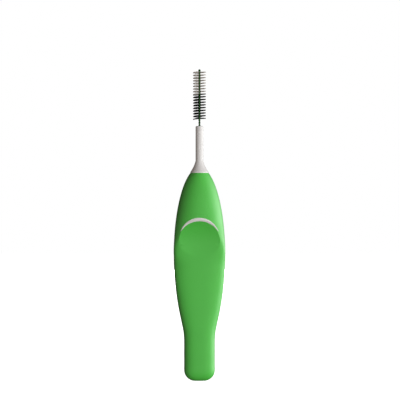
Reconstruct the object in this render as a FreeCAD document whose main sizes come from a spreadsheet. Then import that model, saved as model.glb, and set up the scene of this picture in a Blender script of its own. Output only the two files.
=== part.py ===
import FreeCAD, Part
import os
from math import atan, ceil, cos, pi, sin, sqrt

import Sketcher
from FreeCAD import Placement, Rotation, Vector

# Interdental brush, upright: +Z runs from the tail of the grip to the tip of the brush, the front faces -Y.
# Driving dimensions in millimetres; heights are measured from the tail end.
SIZES = {
    # grip outline, seen from the front
    "grip_length": 48.0,
    "grip_width": 11.9,
    "belly_height": 29.2,
    "grip_top_diameter": 4.24,
    "tail_width": 7.1,
    "tail_length": 9.0,
    "tail_end_radius": 2.45,
    "waist_radius": 17.0,
    # grip thickness, seen from the side
    "grip_thickness": 7.4,
    "paddle_height": 29.8,
    "paddle_thickness": 4.0,
    "crown_rise": 6.7,
    "tail_thickness": 4.9,
    "tail_end_depth": 1.65,
    "tail_fullness": 3.2,
    "paddle_fullness": 5.5,
    "crown_fullness": 2.5,
    "fullness_foot": 3.2,
    "fullness_head": 4.8,
    # thumb pads scooped out of the front and the back
    "pad_height": 31.3,
    "pad_depth": 0.1,
    "pad_rise_radius": 10.2,
    "pad_run": 6.0,
    "pad_lead": 0.1,
    "pad_hollow_radius": 70.0,
    # white crescents that show through the grip above the pads
    "crescent_top": 37.66,
    "crescent_drop": 3.38,
    "crescent_span": 8.84,
    "crescent_band": 0.78,
    # core: collar, flare and neck above the grip, stem and tang inside it
    "collar_diameter": 4.2,
    "collar_height": 0.3,
    "flare_diameter": 4.08,
    "flare_height": 2.5,
    "flare_radius": 8.0,
    "neck_diameter": 1.78,
    "neck_length": 8.05,
    "neck_round": 0.25,
    "stem_diameter": 3.0,
    "stem_length": 5.0,
    "tang_thickness": 1.3,
    "tang_width": 9.2,
    "shoulder_drop": 0.66,
    "shoulder_length": 6.0,
    "tang_tail_width": 3.8,
    "tang_tail_top": 12.0,
    "tang_foot": 4.0,
    # twisted wire
    "strand_diameter": 0.19,
    "twist_pitch": 1.256,
    "anchor_length": 4.0,
    "bare_wire": 1.7,
    "loop_height": 0.455,
    "seat_gap": 0.01,
    # filaments, gripped between the strands
    "filament_diameter": 0.06,
    "filament_gap": 0.007,
    "brush_diameter": 3.0,
}

# Counts: a row is the filaments of half a twist
BLACK_ROWS = 9
WHITE_ROWS = 9
FILAMENTS_PER_ROW = 9
FILAMENT_SIDES = 6
STRAND_SIDES = 6
STEPS_PER_TURN = 8
LOOP_STEPS = 4

# Where the grip's sections stand, as counts or as shares of each stretch
SECTION_POINTS = 24
TAIL_END_STEPS = 5
STRAIGHT_SHARES = (0.15, 0.4, 0.75, 1)
WAIST_SHARES = (0.35, 0.7, 1)
SWELL_SHARES = (0.75, 0.5, 0.25, 0.12, 0)
SHOULDER_STEPS = 12

# Heights and radii that several pieces share
COLLAR_TOP = "(Sizes.grip_length + Sizes.collar_height)"
FLARE_TOP = f"({COLLAR_TOP} + Sizes.flare_height)"
NECK_TOP = f"({FLARE_TOP} + Sizes.neck_length)"
FIRST_ROW = f"({NECK_TOP} + Sizes.bare_wire)"
STRAND_OFFSET = "(Sizes.strand_diameter / 2 + Sizes.filament_diameter / 2 + Sizes.filament_gap)"
BORE_DIAMETER = f"(2 * {STRAND_OFFSET} + Sizes.strand_diameter + 2 * Sizes.seat_gap)"
CROWN = "(Sizes.paddle_height + Sizes.crown_rise)"
PAD_LOW = "(Sizes.pad_height - Sizes.pad_run)"
TANG_SHOULDER = "(Sizes.crescent_top - Sizes.shoulder_drop)"

doc = FreeCAD.newDocument("InterdentalBrush")
sheet = doc.addObject("Spreadsheet::Sheet", "Sizes")
for line, (alias, number) in enumerate(SIZES.items(), start=1):
    sheet.set(f"A{line}", alias)
    sheet.set(f"B{line}", str(number))
    sheet.setAlias(f"B{line}", alias)
doc.recompute()


def value(formula):
    return float(sheet.evalExpression(formula))


def wave(start, end, foot, head, height):
    # Half a cosine wave from the start value at the foot to the end value at the head.
    share = f"min(1; max(0; ({height} - {foot}) / ({head} - {foot})))"
    return f"({start} + ({end} - {start}) / 2 * (1 - cos({share} * 180 deg)))"


def half_thickness_formula(height):
    # From the tail down to the flat paddle.
    half_tail = "Sizes.tail_thickness / 2"
    half_paddle = "Sizes.paddle_thickness / 2"
    return wave(half_tail, half_paddle, "Sizes.tail_length", "Sizes.paddle_height", height)


def oval(half_width, half_thickness, fullness, height):
    # One closed curve: an ellipse at fullness 2, squarer above it.
    points = []
    for step in range(SECTION_POINTS):
        angle = 2 * pi * step / SECTION_POINTS
        swell = (abs(cos(angle)) ** fullness + abs(sin(angle)) ** fullness) ** (-1 / fullness)
        points.append(Vector(half_width * swell * cos(angle), half_thickness * swell * sin(angle), height))
    curve = Part.BSplineCurve()
    curve.interpolate(points, PeriodicFlag=True, Parameters=list(range(SECTION_POINTS + 1)))
    return Part.Wire(curve.toShape())


def tail_end_sections():
    # Quarter arcs, in width and in thickness, round the tail end from its flat face up to the straight tail.
    radius = sheet.tail_end_radius
    for step in range(TAIL_END_STEPS):
        angle = pi / 2 * (1 - step / (TAIL_END_STEPS - 1))
        height = radius * (1 - sin(angle))
        half_width = sheet.tail_width / 2 - radius * (1 - cos(angle))
        half_thickness = sheet.tail_thickness / 2 - sheet.tail_end_depth * (1 - cos(angle))
        yield height, half_width, half_thickness


def waist_sections():
    # Straight tail, hollow waist arc, then a long swelling arc tangent to it up to the belly.
    run = sheet.belly_height - sheet.tail_length
    drop = (sheet.grip_width - sheet.tail_width) / 2
    turn = 2 * atan(drop / run)
    swell_radius = run / sin(turn) - sheet.waist_radius
    straight = sheet.tail_length - sheet.tail_end_radius
    for share in STRAIGHT_SHARES:
        yield sheet.tail_end_radius + straight * share, sheet.tail_width / 2
    for share in WAIST_SHARES:
        angle = turn * share
        half_width = sheet.tail_width / 2 + sheet.waist_radius * (1 - cos(angle))
        yield sheet.tail_length + sheet.waist_radius * sin(angle), half_width
    for share in SWELL_SHARES:
        angle = turn * share
        half_width = sheet.grip_width / 2 - swell_radius * (1 - cos(angle))
        yield sheet.belly_height - swell_radius * sin(angle), half_width


def shoulder_sections():
    # A quarter ellipse from the belly, cut off where it has closed in to the collar.
    reach = sheet.grip_length - sheet.belly_height
    half_axis = reach / sqrt(1 - (sheet.grip_top_diameter / sheet.grip_width) ** 2)
    for step in range(1, SHOULDER_STEPS + 1):
        height = sheet.belly_height + reach * sin(pi / 2 * step / SHOULDER_STEPS)
        yield height, sheet.grip_width / 2 * sqrt(1 - ((height - sheet.belly_height) / half_axis) ** 2)


def half_thickness_at(height):
    # From the tail down to the flat paddle, up to the crown, then a quarter ellipse that closes in to the collar.
    half_paddle = "Sizes.paddle_thickness / 2"
    half_crown = "Sizes.grip_thickness / 2"
    crown = value(CROWN)
    if height <= sheet.paddle_height:
        return value(half_thickness_formula(height))
    if height <= crown:
        return value(wave(half_paddle, half_crown, "Sizes.paddle_height", CROWN, height))
    reach = sheet.grip_length - crown
    half_axis = reach / sqrt(1 - (sheet.grip_top_diameter / sheet.grip_thickness) ** 2)
    return sheet.grip_thickness / 2 * sqrt(1 - ((height - crown) / half_axis) ** 2)


def fullness_at(height):
    # Squarest at the paddle, easing to the tail's fullness below it and on to a circle at the collar above it.
    away = height - sheet.paddle_height
    if away <= 0:
        return value(wave("Sizes.paddle_fullness", "Sizes.tail_fullness", "0", "Sizes.fullness_foot", -away))
    left = 1 - away / (sheet.grip_length - sheet.paddle_height)
    crown = 2 + (sheet.crown_fullness - 2) * left
    return value(wave("Sizes.paddle_fullness", crown, "0", "Sizes.fullness_head", away))


def make_grip_form():
    # The whole oval handle before anything is cut from it.
    sections = []
    for height, half_width, half_thickness in tail_end_sections():
        sections.append(oval(half_width, half_thickness, sheet.tail_fullness, height))
    for height, half_width in [*waist_sections(), *shoulder_sections()]:
        sections.append(oval(half_width, half_thickness_at(height), fullness_at(height), height))
    form = doc.addObject("Part::Feature", "grip_form")
    form.Shape = Part.makeLoft(sections, True, False)
    form.Placement = Placement()
    return form


def origin_plane(body, role):
    return next(plane for plane in body.Origin.OriginFeatures if plane.Role == role)


def new_sketch(body, name, role):
    sketch = body.newObject("Sketcher::SketchObject", name)
    sketch.AttachmentSupport = [(origin_plane(body, role), "")]
    sketch.MapMode = "FlatFace"
    return sketch


def fix_corner(sketch, piece, end, name, x, y):
    # Tie a corner to the sketch's origin by two distances that follow the sheet.
    for kind, formula in (("DistanceX", x), ("DistanceY", y)):
        distance = value(formula)
        if distance == 0:
            axis = -2 if kind == "DistanceX" else -1
            sketch.addConstraint(Sketcher.Constraint("PointOnObject", piece, end, axis))
            continue
        index = sketch.addConstraint(Sketcher.Constraint(kind, -1, 1, piece, end, distance))
        label = f"{name}_{kind[-1].lower()}"
        sketch.renameConstraint(index, label)
        sketch.setExpression(f"Constraints.{label}", formula)


def arc_between(start, end, radius, side):
    # An arc under half a circle that bulges to the left (side 1) or right (side -1) of the way from start to end.
    chord = end - start
    left = Vector(-chord.y, chord.x, 0).normalize()
    sink = sqrt(radius ** 2 - (chord.Length / 2) ** 2)
    centre = (start + end) * 0.5 - left * (side * sink)
    first, last = (end, start) if side > 0 else (start, end)
    turns = [Vector(1, 0, 0).getAngle(p - centre) * (1 if p.y >= centre.y else -1) for p in (first, last)]
    return Part.ArcOfCircle(Part.Circle(centre, Vector(0, 0, 1), radius), *turns)


def draw_outline(sketch, corners):
    # A closed outline. A corner is its x, y and, where an arc leaves it, the arc's radius and the side it bulges to.
    places = [Vector(value(corner[0]), value(corner[1]), 0) for corner in corners]
    ends = []
    for number, corner in enumerate(corners):
        start = places[number]
        finish = places[(number + 1) % len(corners)]
        if len(corner) == 2:
            piece = sketch.addGeometry(Part.LineSegment(start, finish))
            ends.append((piece, 1, 2))
            continue
        radius, side = corner[2:]
        piece = sketch.addGeometry(arc_between(start, finish, value(radius), side))
        ends.append((piece, 2, 1) if side > 0 else (piece, 1, 2))
        index = sketch.addConstraint(Sketcher.Constraint("Radius", piece, value(radius)))
        sketch.renameConstraint(index, f"radius_{number}")
        sketch.setExpression(f"Constraints.radius_{number}", radius)
    for number, (piece, begin, _) in enumerate(ends):
        last_piece, _, last_end = ends[number - 1]
        sketch.addConstraint(Sketcher.Constraint("Coincident", last_piece, last_end, piece, begin))
        fix_corner(sketch, piece, begin, f"corner_{number}", corners[number][0], corners[number][1])
    return sketch


def make_grip_blank(form):
    # The oval handle with its two thumb pads. Each pad is turned about an upright axis far out in front of it,
    # which leaves it a little hollow across as well as along.
    body = doc.addObject("PartDesign::Body", "grip_blank")
    body.BaseFeature = form
    sketch = new_sketch(body, "pad_profile", "YZ_Plane")
    sketch.setExpression("AttachmentOffset.Base.x", "-Sizes.pad_hollow_radius")
    clear = "(Sizes.grip_thickness / 2 + Sizes.pad_lead)"
    waist = "(Sizes.paddle_thickness / 2 - Sizes.pad_depth)"
    low = f"({half_thickness_formula(PAD_LOW)} + Sizes.pad_lead)"
    rise = f"(Sizes.pad_rise_radius - {clear} + {waist})"
    top = f"Sizes.pad_height + sqrt(Sizes.pad_rise_radius ^ 2 - {rise} ^ 2)"
    lead_turn = f"(2 * atan(({low} - {waist}) / Sizes.pad_run))"
    lead_radius = f"Sizes.pad_run / (2 * sin({lead_turn}))"
    reach = "Sizes.pad_hollow_radius"
    draw_outline(sketch, [
        (f"{reach} - {clear}", top, "Sizes.pad_rise_radius", 1),
        (f"{reach} - {waist}", "Sizes.pad_height", lead_radius, 1),
        (f"{reach} - ({waist} + {low}) / 2", "Sizes.pad_height - Sizes.pad_run / 2", lead_radius, -1),
        (f"{reach} - {low}", PAD_LOW),
        (f"{reach} - {clear}", PAD_LOW),
    ])
    pad = body.newObject("PartDesign::Groove", "front_pad")
    pad.Profile = sketch
    pad.ReferenceAxis = (sketch, ["V_Axis"])
    pad.Angle = 360
    doc.recompute()
    mirrored = body.newObject("PartDesign::Mirrored", "back_pad")
    mirrored.Originals = [pad]
    mirrored.MirrorPlane = (origin_plane(body, "XZ_Plane"), [""])
    body.Tip = mirrored
    doc.recompute()
    return body


def make_crescent_bar():
    # A crescent-shaped bar through the whole handle, trimmed later to the grip's surface.
    body = doc.addObject("PartDesign::Body", "crescent_bar")
    sketch = new_sketch(body, "crescent_outline", "XZ_Plane")
    end = "Sizes.crescent_top - Sizes.crescent_drop"
    half = "Sizes.crescent_span / 2"
    hollow = "(Sizes.crescent_drop - Sizes.crescent_band)"
    outer = "((Sizes.crescent_span / 2) ^ 2 + Sizes.crescent_drop ^ 2) / (2 * Sizes.crescent_drop)"
    inner = f"((Sizes.crescent_span / 2) ^ 2 + {hollow} ^ 2) / (2 * {hollow})"
    draw_outline(sketch, [(half, end, outer, -1), (f"-{half}", end, inner, 1)])
    bar = body.newObject("PartDesign::Pad", "bar")
    bar.Profile = sketch
    bar.Midplane = True
    bar.setExpression("Length", "2 * Sizes.grip_thickness")
    doc.recompute()
    return body


def make_core_blank():
    # Collar, flare, neck and stem turned in one profile, the flat tang, and the blind hole for the wire.
    body = doc.addObject("PartDesign::Body", "core_blank")
    profile = new_sketch(body, "neck_profile", "XZ_Plane")
    stem = "Sizes.stem_diameter / 2"
    collar = "Sizes.collar_diameter / 2"
    neck = "Sizes.neck_diameter / 2"
    stem_foot = "Sizes.grip_length - Sizes.stem_length"
    draw_outline(profile, [
        ("0", stem_foot),
        (stem, stem_foot),
        (stem, "Sizes.grip_length"),
        (collar, "Sizes.grip_length"),
        (collar, COLLAR_TOP),
        ("Sizes.flare_diameter / 2", COLLAR_TOP, "Sizes.flare_radius", 1),
        (neck, FLARE_TOP),
        (neck, f"{NECK_TOP} - Sizes.neck_round", "Sizes.neck_round", -1),
        (f"{neck} - Sizes.neck_round", NECK_TOP),
        ("0", NECK_TOP),
    ])
    turned = body.newObject("PartDesign::Revolution", "neck")
    turned.Profile = profile
    turned.ReferenceAxis = (profile, ["V_Axis"])
    turned.Angle = 360
    outline = new_sketch(body, "tang_outline", "XZ_Plane")
    half_outline = [
        ("Sizes.stem_diameter / 2", f"{stem_foot} + Sizes.stem_diameter / 2"),
        ("Sizes.tang_width / 2", TANG_SHOULDER),
        ("Sizes.tang_width / 2", f"{TANG_SHOULDER} - Sizes.shoulder_length"),
        ("Sizes.tang_tail_width / 2", "Sizes.tang_tail_top"),
        ("Sizes.tang_tail_width / 2", "Sizes.tang_foot"),
    ]
    draw_outline(outline, half_outline + [(f"-{x}", y) for x, y in reversed(half_outline)])
    tang = body.newObject("PartDesign::Pad", "tang")
    tang.Profile = outline
    tang.Midplane = True
    tang.setExpression("Length", "Sizes.tang_thickness")
    bore_mouth = new_sketch(body, "bore_mouth", "XY_Plane")
    bore_mouth.setExpression("AttachmentOffset.Base.z", NECK_TOP)
    bore_mouth.addGeometry(Part.Circle(Vector(), Vector(0, 0, 1), value(BORE_DIAMETER) / 2))
    bore_mouth.addConstraint(Sketcher.Constraint("Coincident", 0, 3, -1, 1))
    index = bore_mouth.addConstraint(Sketcher.Constraint("Diameter", 0, value(BORE_DIAMETER)))
    bore_mouth.renameConstraint(index, "bore")
    bore_mouth.setExpression("Constraints.bore", BORE_DIAMETER)
    doc.recompute()
    bore = body.newObject("PartDesign::Pocket", "wire_bore")
    bore.Profile = bore_mouth
    bore.setExpression("Length", "Sizes.anchor_length + Sizes.strand_diameter / 2 + Sizes.seat_gap")
    doc.recompute()
    return body


def boolean(kind, name, base, tool):
    result = doc.addObject(f"Part::{kind}", name)
    result.Base = base
    result.Tool = tool
    return result


def helix_point(height):
    # Place and heading of the first strand, which stands a quarter turn ahead of the filament at this height.
    lead = sheet.twist_pitch / (2 * pi)
    offset = value(STRAND_OFFSET)
    angle = (height - value(FIRST_ROW)) / lead + pi / 2
    place = Vector(offset * cos(angle), offset * sin(angle), height)
    heading = Vector(-offset * sin(angle), offset * cos(angle), lead)
    return place, heading.normalize()


def loop_points(place, heading):
    # From the top of a strand to the middle of the loop: a curve that leaves along the twist and ends level.
    apex = Vector(0, 0, place.z + sheet.loop_height - sheet.strand_diameter / 2)
    out = Vector(place.x, place.y, 0).normalize()
    level = (Vector(0, 0, 1).cross(out) - out).normalize()
    pull = apex.distanceToPoint(place) / 2
    curve = Part.BezierCurve()
    curve.setPoles([place, place + heading * pull, apex - level * pull, apex])
    shares = [step / LOOP_STEPS for step in range(1, LOOP_STEPS + 1)]
    return [(curve.value(share), curve.tangent(share)[0]) for share in shares]


def strand_section(place, heading, loop_foot):
    # A hexagon across the strand, with one flat towards the axis of the twist or the middle of the loop.
    out = place - Vector(0, 0, min(place.z, loop_foot))
    side = heading.cross(out).normalize()
    up = side.cross(heading)
    corners = []
    for step in range(STRAND_SIDES):
        angle = 2 * pi * (step + 0.5) / STRAND_SIDES
        corners.append(place + (up * cos(angle) + side * sin(angle)) * (sheet.strand_diameter / 2))
    return Part.makePolygon(corners + corners[:1])


def make_wire():
    # One coated wire: up one strand, over the loop at the tip and down the other, twisted right-handed together.
    foot = value(f"{NECK_TOP} - Sizes.anchor_length")
    last_row = value(FIRST_ROW) + (BLACK_ROWS + WHITE_ROWS - 1) * sheet.twist_pitch / 2
    loop_foot = last_row + sheet.twist_pitch / 4
    steps = ceil((loop_foot - foot) / sheet.twist_pitch * STEPS_PER_TURN)
    strand = [helix_point(foot + (loop_foot - foot) * step / steps) for step in range(steps + 1)]
    strand += loop_points(*strand[-1])
    half_turn = Rotation(Vector(0, 0, 1), 180)
    back = [(half_turn.multVec(place), half_turn.multVec(heading) * -1) for place, heading in strand[-2::-1]]
    sections = [strand_section(place, heading, loop_foot) for place, heading in strand + back]
    wire = doc.addObject("Part::Feature", "wire")
    wire.Shape = Part.makeLoft(sections, True, True)
    wire.Placement = Placement()
    return wire


def make_filaments():
    # One row: straight filaments through the twist's axis, each turned on a little from the one below.
    filaments = []
    for number in range(FILAMENTS_PER_ROW):
        step = (number + 0.5) / FILAMENTS_PER_ROW - 0.5
        filament = doc.addObject("Part::Prism", f"filament_{number + 1}")
        filament.Polygon = FILAMENT_SIDES
        filament.setExpression("Circumradius", "Sizes.filament_diameter / 2")
        filament.setExpression("Height", "Sizes.brush_diameter")
        turn = Rotation(Vector(0, 0, 1), 180 * step) * Rotation(Vector(0, 1, 0), 90)
        filament.Placement = Placement(Vector(), turn)
        reach = "-Sizes.brush_diameter / 2"
        filament.setExpression("Placement.Base.x", f"{reach} * {cos(pi * step):.9f}")
        filament.setExpression("Placement.Base.y", f"{reach} * {sin(pi * step):.9f}")
        filament.setExpression("Placement.Base.z", f"{FIRST_ROW} + Sizes.twist_pitch / 2 * {step:.9f}")
        filaments.append(filament)
    return filaments


def make_rows(filaments):
    # The same row repeats every half twist: black rows next to the neck, white rows towards the tip.
    names = [f"black_filaments_{number:02d}" for number in range(1, BLACK_ROWS + 1)]
    names += [f"white_filaments_{number:02d}" for number in range(1, WHITE_ROWS + 1)]
    rows = []
    for number, name in enumerate(names):
        row = doc.addObject("Part::Compound", name)
        row.Links = filaments
        row.setExpression("Placement.Base.z", f"Sizes.twist_pitch / 2 * {number}")
        rows.append(row)
    return rows


grip_blank = make_grip_blank(make_grip_form())
crescents = boolean("Common", "crescents", grip_blank, make_crescent_bar())
core = boolean("Fuse", "core", make_core_blank(), crescents)
grip = boolean("Cut", "grip", grip_blank, core)
sub_parts = [grip, core, make_wire(), *make_rows(make_filaments())]
doc.recompute()

for thing in doc.Objects:
    if "Invalid" in thing.State or "Error" in thing.State:
        raise RuntimeError(f"{thing.Label} did not build: {thing.State}")
for sub_part in sub_parts:
    if sub_part.Shape.isNull() or not sub_part.Shape.isValid():
        raise RuntimeError(f"{sub_part.Label} has no valid shape")

os.makedirs("parts", exist_ok=True)
for sub_part in sub_parts:
    sub_part.Shape.exportStep(f"parts/{sub_part.Label}.step")
    print(sub_part.Label, len(sub_part.Shape.Solids), "solids", round(sub_part.Shape.Volume, 4), "mm3")
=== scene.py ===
import math
import random

import bmesh
import bpy
from mathutils import Matrix, Vector


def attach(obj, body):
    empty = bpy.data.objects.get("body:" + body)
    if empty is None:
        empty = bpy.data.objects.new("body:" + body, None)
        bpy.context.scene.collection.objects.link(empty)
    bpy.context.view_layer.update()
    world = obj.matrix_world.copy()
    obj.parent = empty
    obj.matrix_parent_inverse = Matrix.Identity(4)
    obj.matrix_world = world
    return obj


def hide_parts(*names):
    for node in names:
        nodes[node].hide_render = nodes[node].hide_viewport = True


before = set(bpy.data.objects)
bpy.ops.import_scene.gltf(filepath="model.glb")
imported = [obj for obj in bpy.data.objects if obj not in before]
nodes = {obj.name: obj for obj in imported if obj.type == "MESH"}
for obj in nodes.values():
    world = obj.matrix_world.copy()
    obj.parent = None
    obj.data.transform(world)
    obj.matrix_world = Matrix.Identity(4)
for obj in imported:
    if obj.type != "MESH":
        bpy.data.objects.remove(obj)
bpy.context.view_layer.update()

mm = 0.001
print("frame loaded,", len(nodes), "nodes")


class Val:
    # a socket that takes Python's operators; numbers alone stay in Python
    def __init__(self, tree, socket=None):
        self.tree = tree
        self.socket = socket

    def node(self, kind, settings=None, sockets=None, out=0):
        made = self.tree.nodes.new(kind)
        for name, setting in (settings or {}).items():
            setattr(made, name, setting)
        for name, given in (sockets or {}).items():
            if isinstance(given, Val):
                self.tree.links.new(given.socket, made.inputs[name])
            else:
                made.inputs[name].default_value = given
        return Val(self.tree, made.outputs[out] if made.outputs else None)

    def maths(self, operation, first, second):
        return self.node("ShaderNodeMath", {"operation": operation}, {0: first, 1: second})

    def __add__(self, other):
        return self.maths("ADD", self, other)

    def __sub__(self, other):
        return self.maths("SUBTRACT", self, other)

    def __rsub__(self, other):
        return self.maths("SUBTRACT", other, self)

    def __mul__(self, other):
        return self.maths("MULTIPLY", self, other)

    __radd__ = __add__
    __rmul__ = __mul__


def opaque(colour):
    return (*colour, 1.0)


# every plastic here has one recipe: mottled colour, fine grain in gloss and relief
finishLook = {
    "cloudDetail": 3.0,
    "grainDetail": 2.0,
}


def mouldedFinish(name, look):
    material = bpy.data.materials.new(name)
    material.use_nodes = True
    material.node_tree.nodes.clear()
    start = Val(material.node_tree)
    place = start.node("ShaderNodeTexCoord", out="Object")
    cloud = start.node("ShaderNodeTexNoise", {}, {
        "Vector": place, "Scale": look["cloudScale"], "Detail": finishLook["cloudDetail"]})
    grain = start.node("ShaderNodeTexNoise", {}, {
        "Vector": place, "Scale": look["grainScale"], "Detail": finishLook["grainDetail"]})
    colour = start.node("ShaderNodeMix", {"data_type": "RGBA"}, {
        "Factor": cloud, 6: opaque(look["deep"]), 7: opaque(look["pale"])}, out=2)
    # each noise stands round a half, so their sum stands round one
    rough = look["roughness"] + (cloud + grain - 1.0) * (look["roughSpread"] / 2)
    relief = start.node("ShaderNodeBump", {}, {
        "Height": grain, "Strength": look["grainStrength"], "Distance": look["grainDepth"]})
    sockets = {"Base Color": colour, "Roughness": rough, "Normal": relief}
    sockets.update(look.get("fixed", {}))
    shader = start.node("ShaderNodeBsdfPrincipled", {}, sockets)
    start.node("ShaderNodeOutputMaterial", {}, {"Surface": shader})
    return material


def dress(piece, material):
    piece.data.materials.clear()
    piece.data.materials.append(material)


def finishPiece(name, mesh, material, replaced):
    piece = bpy.data.objects.new(name, mesh)
    bpy.context.scene.collection.objects.link(piece)
    dress(piece, material)
    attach(piece, "root")
    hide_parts(replaced)


# grip: soft green elastomer over the core
gripLook = {
    "deep": (0.052, 0.6, 0.038),
    "pale": (0.062, 0.65, 0.046),
    "cloudScale": 260.0,
    "grainScale": 9000.0,
    "grainStrength": 0.22,
    "grainDepth": 0.03 * mm,
    "roughness": 0.64,
    "roughSpread": 0.12,
    "fixed": {"IOR": 2.0, "Specular IOR Level": 1.0, "Coat Weight": 1.0, "Coat Roughness": 0.5},
    "weld": 0.002 * mm,
    "crease": 24.0,
}


def softGrip():
    # a welded copy of the CAD grip, so that its seams aren't shaded where the pad runs out
    bm = bmesh.new()
    bm.from_mesh(nodes["grip"].data)
    bmesh.ops.remove_doubles(bm, verts=bm.verts[:], dist=gripLook["weld"])
    for edge in bm.edges:
        edge.smooth = edge.calc_face_angle(0.0) < math.radians(gripLook["crease"])
    for face in bm.faces:
        face.smooth = True
    mesh = bpy.data.meshes.new("softGrip")
    bm.to_mesh(mesh)
    bm.free()
    return mesh


softGreen = mouldedFinish("softGreen", gripLook)
dress(nodes["grip"], softGreen)
finishPiece("softGrip", softGrip(), softGreen, "grip")

# core: white neck, collar and crescents
coreLook = {
    "deep": (0.69, 0.685, 0.68),
    "pale": (0.725, 0.72, 0.715),
    "cloudScale": 420.0,
    "grainScale": 12000.0,
    "grainStrength": 0.02,
    "grainDepth": 0.01 * mm,
    "roughness": 0.42,
    "roughSpread": 0.06,
}
whitePlastic = mouldedFinish("whitePlastic", coreLook)
dress(nodes["core"], whitePlastic)
print("grip and core dressed")

# twisted wire: one coated wire, folded at the tip, both halves turned round each other
wireLook = {
    "strandRadius": 0.145 * mm,
    "strandOffset": 0.105 * mm,
    "pitch": 1.256 * mm,
    "foot": 54.85 * mm,
    "firstRow": 60.55 * mm,
    "loopFoot": 71.54 * mm,
    "loopHeight": 0.335 * mm,
    "loopSwell": 0.75,
    # the fold's points: share of the swell, and of the loop's height below its top
    "loopPoints": [(1.0, 0.55), (0.42, 0.08), (-0.42, 0.08), (-1.0, 0.55)],
    "pointsPerTurn": 14,
    "finish": {
        "deep": (0.005, 0.05, 0.005),
        "pale": (0.012, 0.1, 0.01),
        "cloudScale": 1500.0,
        "grainScale": 15000.0,
        "grainStrength": 0.1,
        "grainDepth": 0.01 * mm,
        "roughness": 0.36,
        "roughSpread": 0.16,
    },
}


def strandPoint(height, side):
    turns = (height - wireLook["firstRow"]) / wireLook["pitch"]
    angle = turns * math.tau + math.pi / 2 * side
    offset = wireLook["strandOffset"]
    return Vector((offset * math.cos(angle), offset * math.sin(angle), height))


def wirePath():
    rise = wireLook["loopFoot"] - wireLook["foot"]
    steps = math.ceil(rise / wireLook["pitch"] * wireLook["pointsPerTurn"])
    heights = [wireLook["foot"] + rise * step / steps for step in range(steps + 1)]
    up = [strandPoint(height, 1) for height in heights]
    down = [strandPoint(height, -1) for height in reversed(heights)]
    lift = Vector((0, 0, wireLook["loopHeight"]))
    top = up[-1].lerp(down[0], 0.5) + lift
    swell = (up[-1] - down[0]) * wireLook["loopSwell"]
    fold = [top + swell * out - lift * drop for out, drop in wireLook["loopPoints"]]
    return up + fold + down


def makeWire():
    path = wirePath()
    curve = bpy.data.curves.new("wireRun", "CURVE")
    curve.dimensions = "3D"
    curve.bevel_depth = wireLook["strandRadius"]
    curve.bevel_resolution = 2
    curve.use_fill_caps = True
    spline = curve.splines.new("NURBS")
    spline.points.add(len(path) - 1)
    for point, place in zip(spline.points, path):
        point.co = (*place, 1.0)
    spline.order_u = 3
    spline.use_endpoint_u = True
    spline.resolution_u = 2
    holder = bpy.data.objects.new("wireRun", curve)
    mesh = bpy.data.meshes.new_from_object(holder)
    mesh.name = "twistedWire"
    bpy.data.objects.remove(holder)
    for face in mesh.polygons:
        face.use_smooth = True
    return mesh


coatedWire = mouldedFinish("coatedWire", wireLook["finish"])
finishPiece("twistedWire", makeWire(), coatedWire, "wire")
print("wire twisted")

# filaments: each half turn of the wire holds one row, black by the neck and white towards the tip
rowLook = {
    "rowsEach": 9,
    "perRow": 56,
    "strays": 2,
    "sides": 4,
    "segments": 8,
    "blackRadius": 0.05 * mm,
    "whiteRadius": 0.035 * mm,
    "reach": 1.5 * mm,
    "shortest": 0.93,
    "bend": 0.012 * mm,
    "stray": 1.0,
    # an odd power, so that strays below the first row keep their sign
    "clump": 7,
    "scatter": 0.05 * mm,
    "scatterStep": 0.618,
    "blackSag": 0.17 * mm,
    "whiteSag": 0.07 * mm,
    "rise": 0.09 * mm,
    "seed": 7,
    "black": {
        "deep": (0.006, 0.005, 0.005),
        "pale": (0.014, 0.012, 0.011),
        "cloudScale": 2600.0,
        "grainScale": 16000.0,
        "grainStrength": 0.05,
        "grainDepth": 0.005 * mm,
        "roughness": 0.34,
        "roughSpread": 0.12,
    },
    "white": {
        "deep": (0.42, 0.385, 0.345),
        "pale": (0.58, 0.545, 0.5),
        "cloudScale": 2600.0,
        "grainScale": 16000.0,
        "grainStrength": 0.05,
        "grainDepth": 0.005 * mm,
        "roughness": 0.3,
        "roughSpread": 0.1,
    },
}


def makeFilament():
    # a rod along X from -1 to 1, in rings, that every row copies, sizes and bends
    bm = bmesh.new()
    bmesh.ops.create_cone(bm, cap_ends=True, segments=rowLook["sides"], radius1=1.0, radius2=1.0, depth=2.0,
                          matrix=Matrix.Rotation(math.pi / 2, 4, "Y"))
    lengthwise = [edge for edge in bm.edges if edge.verts[0].co.x * edge.verts[1].co.x < 0]
    bmesh.ops.subdivide_edges(bm, edges=lengthwise, cuts=rowLook["segments"] - 1)
    mesh = bpy.data.meshes.new("filament")
    bm.to_mesh(mesh)
    bm.free()
    return mesh


def rowShares(number):
    # shares of the half turn from one level filament to the next
    # the first row has a few strays below it, the last one stops half way
    first = -rowLook["strays"] if number == 0 else 0
    last = rowLook["perRow"] // 2 if number == 2 * rowLook["rowsEach"] - 1 else rowLook["perRow"]
    return [(count + 0.5) / rowLook["perRow"] for count in range(first, last)]


def gather(share):
    # draws filaments towards the level ones, as rows
    clump = rowLook["clump"]
    if share < 0.5:
        return 0.5 * (2 * share) ** clump
    return 1 - 0.5 * (2 - 2 * share) ** clump


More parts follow.
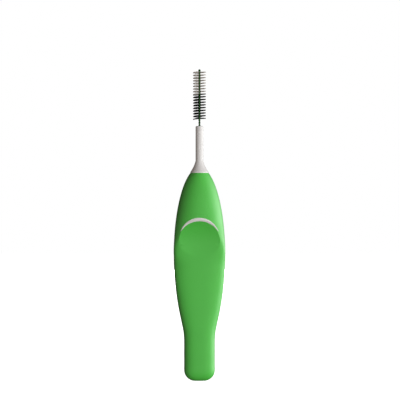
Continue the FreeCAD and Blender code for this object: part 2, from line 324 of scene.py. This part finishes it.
def makeRow(filament, number, colour, draw):
    bm = bmesh.new()
    sag = rowLook[f"{colour}Sag"]
    radius = rowLook[f"{colour}Radius"]
    for index, share in enumerate(rowShares(number)):
        gathered = gather(share)
        first = len(bm.verts)
        bm.from_mesh(filament)
        bm.verts.ensure_lookup_table()
        rod = bm.verts[first:]
        reach = rowLook["reach"] * draw.uniform(rowLook["shortest"], 1.0)
        bend = rowLook["bend"] * draw.uniform(-1, 1)
        lift = rowLook["bend"] * draw.uniform(-1, 1)
        for vert in rod:
            along = vert.co.x
            vert.co = (along * reach, vert.co.y * radius + bend * along * abs(along),
                       vert.co.z * radius + lift * along ** 2)
        turn = math.pi * gathered + math.radians(draw.uniform(-1, 1) * rowLook["stray"])
        height = wireLook["firstRow"] + wireLook["pitch"] / 2 * (number + gathered)
        height += rowLook["scatter"] * (2 * (index * rowLook["scatterStep"] % 1) - 1)
        place = Matrix.Translation((0, 0, height)) @ Matrix.Rotation(turn, 4, "Z")
        bmesh.ops.transform(bm, verts=rod, matrix=place)
        for vert in rod:
            # left ends hang, right ends rise
            side = vert.co.x / rowLook["reach"]
            vert.co.z += side * (0.5 + 0.5 * abs(side)) * (sag if side < 0 else rowLook["rise"])
    mesh = bpy.data.meshes.new("filamentRow")
    bm.to_mesh(mesh)
    bm.free()
    for face in mesh.polygons:
        face.use_smooth = True
    return mesh


blackFilament = mouldedFinish("blackFilament", rowLook["black"])
whiteFilament = mouldedFinish("whiteFilament", rowLook["white"])
filament = makeFilament()
draw = random.Random(rowLook["seed"])
for number in range(2 * rowLook["rowsEach"]):
    black = number < rowLook["rowsEach"]
    colour = "black" if black else "white"
    label = f"{number % rowLook['rowsEach'] + 1:02d}"
    row = makeRow(filament, number, colour, draw)
    finishPiece(f"{colour}Row{label}", row, blackFilament if black else whiteFilament,
                f"{colour}_filaments_{label}")
bpy.data.meshes.remove(filament)
print("filament rows set")

# studio: pale floor, white surround, soft light from the right; only some lights show as highlights
studioLook = {
    "floorSize": 1.2,
    "floorDrop": 0.02 * mm,
    "floorColour": (0.9, 0.9, 0.9),
    "floorGlow": 1.0,
    "floorCloud": 30.0,
    "floorRoughness": 0.7,
    "floorSpread": 0.1,
    "white": (1.0, 1.0, 1.0),
    "ambient": (0.182, 0.15, 0.13),
    "aim": (0.0, 0.0, 0.036),
    "lights": {
        "key": {"place": (0.53, -0.61, 0.06), "size": (0.6, 0.1), "power": 4.8, "mirrored": False},
        "front": {"place": (0.2, -0.78, 0.04), "size": (0.5, 0.06), "power": 0.35, "mirrored": True},
        "side": {"place": (0.77, -0.21, 0.1), "size": (0.4, 0.15), "power": 1.6, "mirrored": True},
        "rim": {"place": (0.74, 0.3, 0.12), "size": (0.4, 0.2), "power": 1.7, "mirrored": True},
        "bounce": {"place": (-0.25, -0.35, 0.01), "size": (0.6, 0.6), "power": 0.16, "mirrored": False},
        "backFill": {"place": (0.1, 0.8, 0.15), "size": (0.5, 0.25), "power": 4.0, "mirrored": False},
    },
}


def floorFinish():
    material = bpy.data.materials.new("paleFloor")
    material.use_nodes = True
    material.node_tree.nodes.clear()
    start = Val(material.node_tree)
    place = start.node("ShaderNodeTexCoord", out="Object")
    cloud = start.node("ShaderNodeTexNoise", {}, {"Vector": place, "Scale": studioLook["floorCloud"]})
    shader = start.node("ShaderNodeBsdfPrincipled", {}, {
        "Base Color": opaque(studioLook["floorColour"]),
        "Roughness": studioLook["floorRoughness"] + cloud * studioLook["floorSpread"],
        "Emission Color": opaque(studioLook["white"]),
        "Emission Strength": studioLook["floorGlow"]})
    start.node("ShaderNodeOutputMaterial", {}, {"Surface": shader})
    return material


def makeFloor():
    bm = bmesh.new()
    bmesh.ops.create_grid(bm, x_segments=1, y_segments=1, size=studioLook["floorSize"])
    bmesh.ops.translate(bm, verts=bm.verts[:], vec=(0, 0, -studioLook["floorDrop"]))
    mesh = bpy.data.meshes.new("floor")
    bm.to_mesh(mesh)
    bm.free()
    floor = bpy.data.objects.new("floor", mesh)
    bpy.context.scene.collection.objects.link(floor)
    dress(floor, floorFinish())
    floor.visible_diffuse = False
    floor.visible_glossy = False


def makeWorld():
    world = bpy.data.worlds.new("studio")
    world.use_nodes = True
    world.node_tree.nodes.clear()
    start = Val(world.node_tree)
    seen = start.node("ShaderNodeLightPath", out="Is Camera Ray")
    mirrored = start.node("ShaderNodeLightPath", out="Is Glossy Ray")
    backdrop = start.node("ShaderNodeBackground", {}, {"Color": opaque(studioLook["white"]), "Strength": 1.0})
    around = start.node("ShaderNodeBackground", {}, {
        "Color": opaque(studioLook["ambient"]), "Strength": 1.0 - mirrored})
    mixed = start.node("ShaderNodeMixShader", {}, {0: seen, 1: around, 2: backdrop})
    start.node("ShaderNodeOutputWorld", {}, {"Surface": mixed})
    bpy.context.scene.world = world


def addLight(name, look):
    light = bpy.data.lights.new(name, "AREA")
    light.shape = "RECTANGLE"
    light.size, light.size_y = look["size"]
    light.energy = look["power"]
    holder = bpy.data.objects.new(name, light)
    holder.location = look["place"]
    holder.visible_camera = False
    holder.visible_glossy = look["mirrored"]
    facing = Vector(studioLook["aim"]) - Vector(look["place"])
    holder.rotation_euler = facing.to_track_quat("-Z", "Y").to_euler()
    bpy.context.scene.collection.objects.link(holder)


# camera: level, in front of the pad, with a long lens
cameraLook = {
    "lens": 200.0,
    "sensorWidth": 36.0,
    "clipStart": 0.01,
    "clipEnd": 20.0,
    "place": (0.127 * mm, -513.8 * mm, 41.75 * mm),
}


def addCamera():
    camera = bpy.data.cameras.new("camera")
    camera.lens = cameraLook["lens"]
    camera.sensor_width = cameraLook["sensorWidth"]
    camera.clip_start = cameraLook["clipStart"]
    camera.clip_end = cameraLook["clipEnd"]
    holder = bpy.data.objects.new("camera", camera)
    holder.location = cameraLook["place"]
    holder.rotation_euler = (math.pi / 2, 0, 0)
    bpy.context.scene.collection.objects.link(holder)
    bpy.context.scene.camera = holder


makeFloor()
makeWorld()
for name, look in studioLook["lights"].items():
    addLight(name, look)
addCamera()
bpy.context.scene.view_settings.view_transform = "Standard"
print("studio lit")
